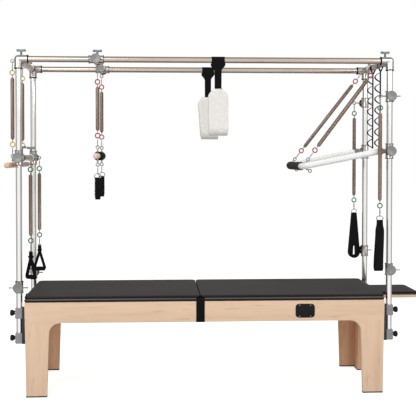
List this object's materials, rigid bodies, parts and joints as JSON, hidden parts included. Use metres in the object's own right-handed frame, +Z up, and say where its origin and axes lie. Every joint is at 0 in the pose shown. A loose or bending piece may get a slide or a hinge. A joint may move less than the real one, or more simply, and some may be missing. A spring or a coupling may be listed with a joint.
{
  "type": "pilates trapeze table",
  "caption": "Padded trapeze table on an arched wooden base, with a tubular overhead frame carrying springs, sliding bars, a push-through bar, handles, straps and slings.",
  "frame": {"origin": "middle of the whole object's outline, on the floor", "axes": "+X along the table toward the folding board, -Y toward the front, +Z up"},
  "size_m": [2.6478, 0.84, 2.168],
  "materials": {
    "maple": "satin lacquer",
    "vinyl": "matt",
    "webbing": "woven",
    "tube_steel": "polished",
    "cast_alloy": "satin",
    "spring_steel": "wound wire",
    "white_paint": "white powder coat",
    "grip_foam": "foam",
    "fleece": "soft pile",
    "bar_wood": "satin lacquer",
    "pale_wood": "satin lacquer"
  },
  "bodies": {
    "root": {"side_panel_front": "maple", "side_panel_back": "maple", "end_panel_left": "maple", "end_panel_right": "maple", "deck_board": "maple", "mat_left": "vinyl", "mat_right": "vinyl", "mat_strap": "webbing", "post_bracket_front_left": "cast_alloy", "post_bracket_front_right": "cast_alloy", "post_bracket_back_left": "cast_alloy", "post_bracket_back_right": "cast_alloy", "post_front_left": "tube_steel", "post_front_right": "tube_steel", "post_back_left": "tube_steel", "post_back_right": "tube_steel", "corner_fitting_front_left": "cast_alloy", "corner_fitting_front_right": "cast_alloy", "corner_fitting_back_left": "cast_alloy", "corner_fitting_back_right": "cast_alloy", "rail_front": "tube_steel", "rail_back": "tube_steel", "top_tube_left": "tube_steel", "top_tube_right": "tube_steel", "push_collar_front": "cast_alloy", "push_collar_back": "cast_alloy", "push_spring_front": "spring_steel", "push_spring_back": "spring_steel"},
    "roll_bar": {"roll_bar": "bar_wood", "roll_spring_front": "spring_steel", "roll_spring_back": "spring_steel"},
    "slider": {"trapeze_slider": "tube_steel"},
    "trapeze": {"trapeze_bar": "pale_wood", "trapeze_spring_front": "spring_steel", "trapeze_spring_back": "spring_steel"},
    "cuff_front": {"cuff_front": "webbing"},
    "cuff_back": {"cuff_back": "webbing"},
    "mid_bar": {"mid_bar": "tube_steel"},
    "arm_front": {"arm_spring_front": "spring_steel", "handle_front": "webbing"},
    "arm_back": {"arm_spring_back": "spring_steel", "handle_back": "webbing"},
    "high_collar_front": {"high_collar_front": "cast_alloy"},
    "high_collar_back": {"high_collar_back": "cast_alloy"},
    "leg_front": {"leg_spring_front": "spring_steel", "foot_strap_front": "webbing"},
    "leg_back": {"leg_spring_back": "spring_steel", "foot_strap_back": "webbing"},
    "low_collar_front_left": {"low_collar_front_left": "cast_alloy"},
    "low_collar_back_left": {"low_collar_back_left": "cast_alloy"},
    "low_collar_front_right": {"low_collar_front_right": "cast_alloy"},
    "low_collar_back_right": {"low_collar_back_right": "cast_alloy"},
    "push_bar": {"push_bar": "white_paint", "push_bar_grip": "grip_foam"},
    "sling_front": {"sling_front": "fleece"},
    "sling_back": {"sling_back": "fleece"},
    "hang_strap_front": {"hang_strap_front": "webbing"},
    "hang_strap_back": {"hang_strap_back": "webbing"},
    "extension": {"extension_board": "maple", "extension_cushion": "vinyl"}
  },
  "joints": [
    {"name": "slider_slide", "type": "slide", "parent": "root", "child": "slider", "axis": [1, 0, 0], "range_m": [-0.3, 0.55]},
    {"name": "trapeze_swing", "type": "hinge", "parent": "slider", "child": "trapeze", "pos_m": [-0.77075, 0, 2.044], "axis": [0, 1, 0], "range_deg": [-45, 20]},
    {"name": "cuff_swing_front", "type": "hinge", "parent": "trapeze", "child": "cuff_front", "pos_m": [-0.77075, -0.2, 1.443], "axis": [0, 1, 0], "range_deg": [-25, 25]},
    {"name": "cuff_swing_back", "type": "hinge", "parent": "trapeze", "child": "cuff_back", "pos_m": [-0.77075, 0.2, 1.443], "axis": [0, 1, 0], "range_deg": [-25, 25]},
    {"name": "roll_bar_swing", "type": "hinge", "parent": "root", "child": "roll_bar", "pos_m": [-1.30675, 0, 2.1], "axis": [0, 1, 0], "range_deg": [0, 75]},
    {"name": "mid_bar_slide", "type": "slide", "parent": "root", "child": "mid_bar", "axis": [0, 0, 1], "range_m": [-0.06, 0.35]},
    {"name": "arm_swing_front", "type": "hinge", "parent": "mid_bar", "child": "arm_front", "pos_m": [-1.19475, -0.2, 1.488], "axis": [0, 1, 0], "range_deg": [-40, 10]},
    {"name": "high_collar_slide_front", "type": "slide", "parent": "root", "child": "high_collar_front", "axis": [0, 0, 1], "range_m": [-0.1, 0.1]},
    {"name": "leg_swing_front", "type": "hinge", "parent": "high_collar_front", "child": "leg_front", "pos_m": [1.01025, -0.345, 1.876], "axis": [0, 1, 0], "range_deg": [0, 45]},
    {"name": "low_collar_slide_front_left", "type": "slide", "parent": "root", "child": "low_collar_front_left", "axis": [0, 0, 1], "range_m": [-0.05, 0.5]},
    {"name": "arm_swing_back", "type": "hinge", "parent": "mid_bar", "child": "arm_back", "pos_m": [-1.19475, 0.2, 1.488], "axis": [0, 1, 0], "range_deg": [-40, 10]},
    {"name": "high_collar_slide_back", "type": "slide", "parent": "root", "child": "high_collar_back", "axis": [0, 0, 1], "range_m": [-0.1, 0.1]},
    {"name": "leg_swing_back", "type": "hinge", "parent": "high_collar_back", "child": "leg_back", "pos_m": [1.01025, 0.345, 1.876], "axis": [0, 1, 0], "range_deg": [0, 45]},
    {"name": "low_collar_slide_back_left", "type": "slide", "parent": "root", "child": "low_collar_back_left", "axis": [0, 0, 1], "range_m": [-0.05, 0.5]},
    {"name": "low_collar_slide_front_right", "type": "slide", "parent": "root", "child": "low_collar_front_right", "axis": [0, 0, 1], "range_m": [-0.12, 0.5]},
    {"name": "low_collar_slide_back_right", "type": "slide", "parent": "root", "child": "low_collar_back_right", "axis": [0, 0, 1], "range_m": [-0.17, 0.45]},
    {"name": "push_bar_hinge", "type": "hinge", "parent": "root", "child": "push_bar", "pos_m": [1.02125, 0, 1.53], "axis": [0, 1, 0], "range_deg": [-60, 60], "stiffness_Nm_per_rad": 60, "springref_deg": 15.47, "deforming": ["push_spring_front", "push_spring_back"]},
    {"name": "sling_swing_front", "type": "hinge", "parent": "root", "child": "sling_front", "pos_m": [-0.01075, -0.31, 2.1], "axis": [1, 0, 0], "range_deg": [-40, 40]},
    {"name": "hang_strap_swing_front", "type": "hinge", "parent": "root", "child": "hang_strap_front", "pos_m": [1.07925, -0.095, 2.1], "axis": [0, 1, 0], "range_deg": [-15, 25]},
    {"name": "sling_swing_back", "type": "hinge", "parent": "root", "child": "sling_back", "pos_m": [-0.03575, 0.31, 2.1], "axis": [1, 0, 0], "range_deg": [-40, 40]},
    {"name": "hang_strap_swing_back", "type": "hinge", "parent": "root", "child": "hang_strap_back", "pos_m": [1.07925, 0.095, 2.1], "axis": [0, 1, 0], "range_deg": [-15, 25]},
    {"name": "extension_fold", "type": "hinge", "parent": "root", "child": "extension", "pos_m": [1.04975, 0, 0.5657], "axis": [0, 1, 0], "range_deg": [0, 88]}
  ]
}
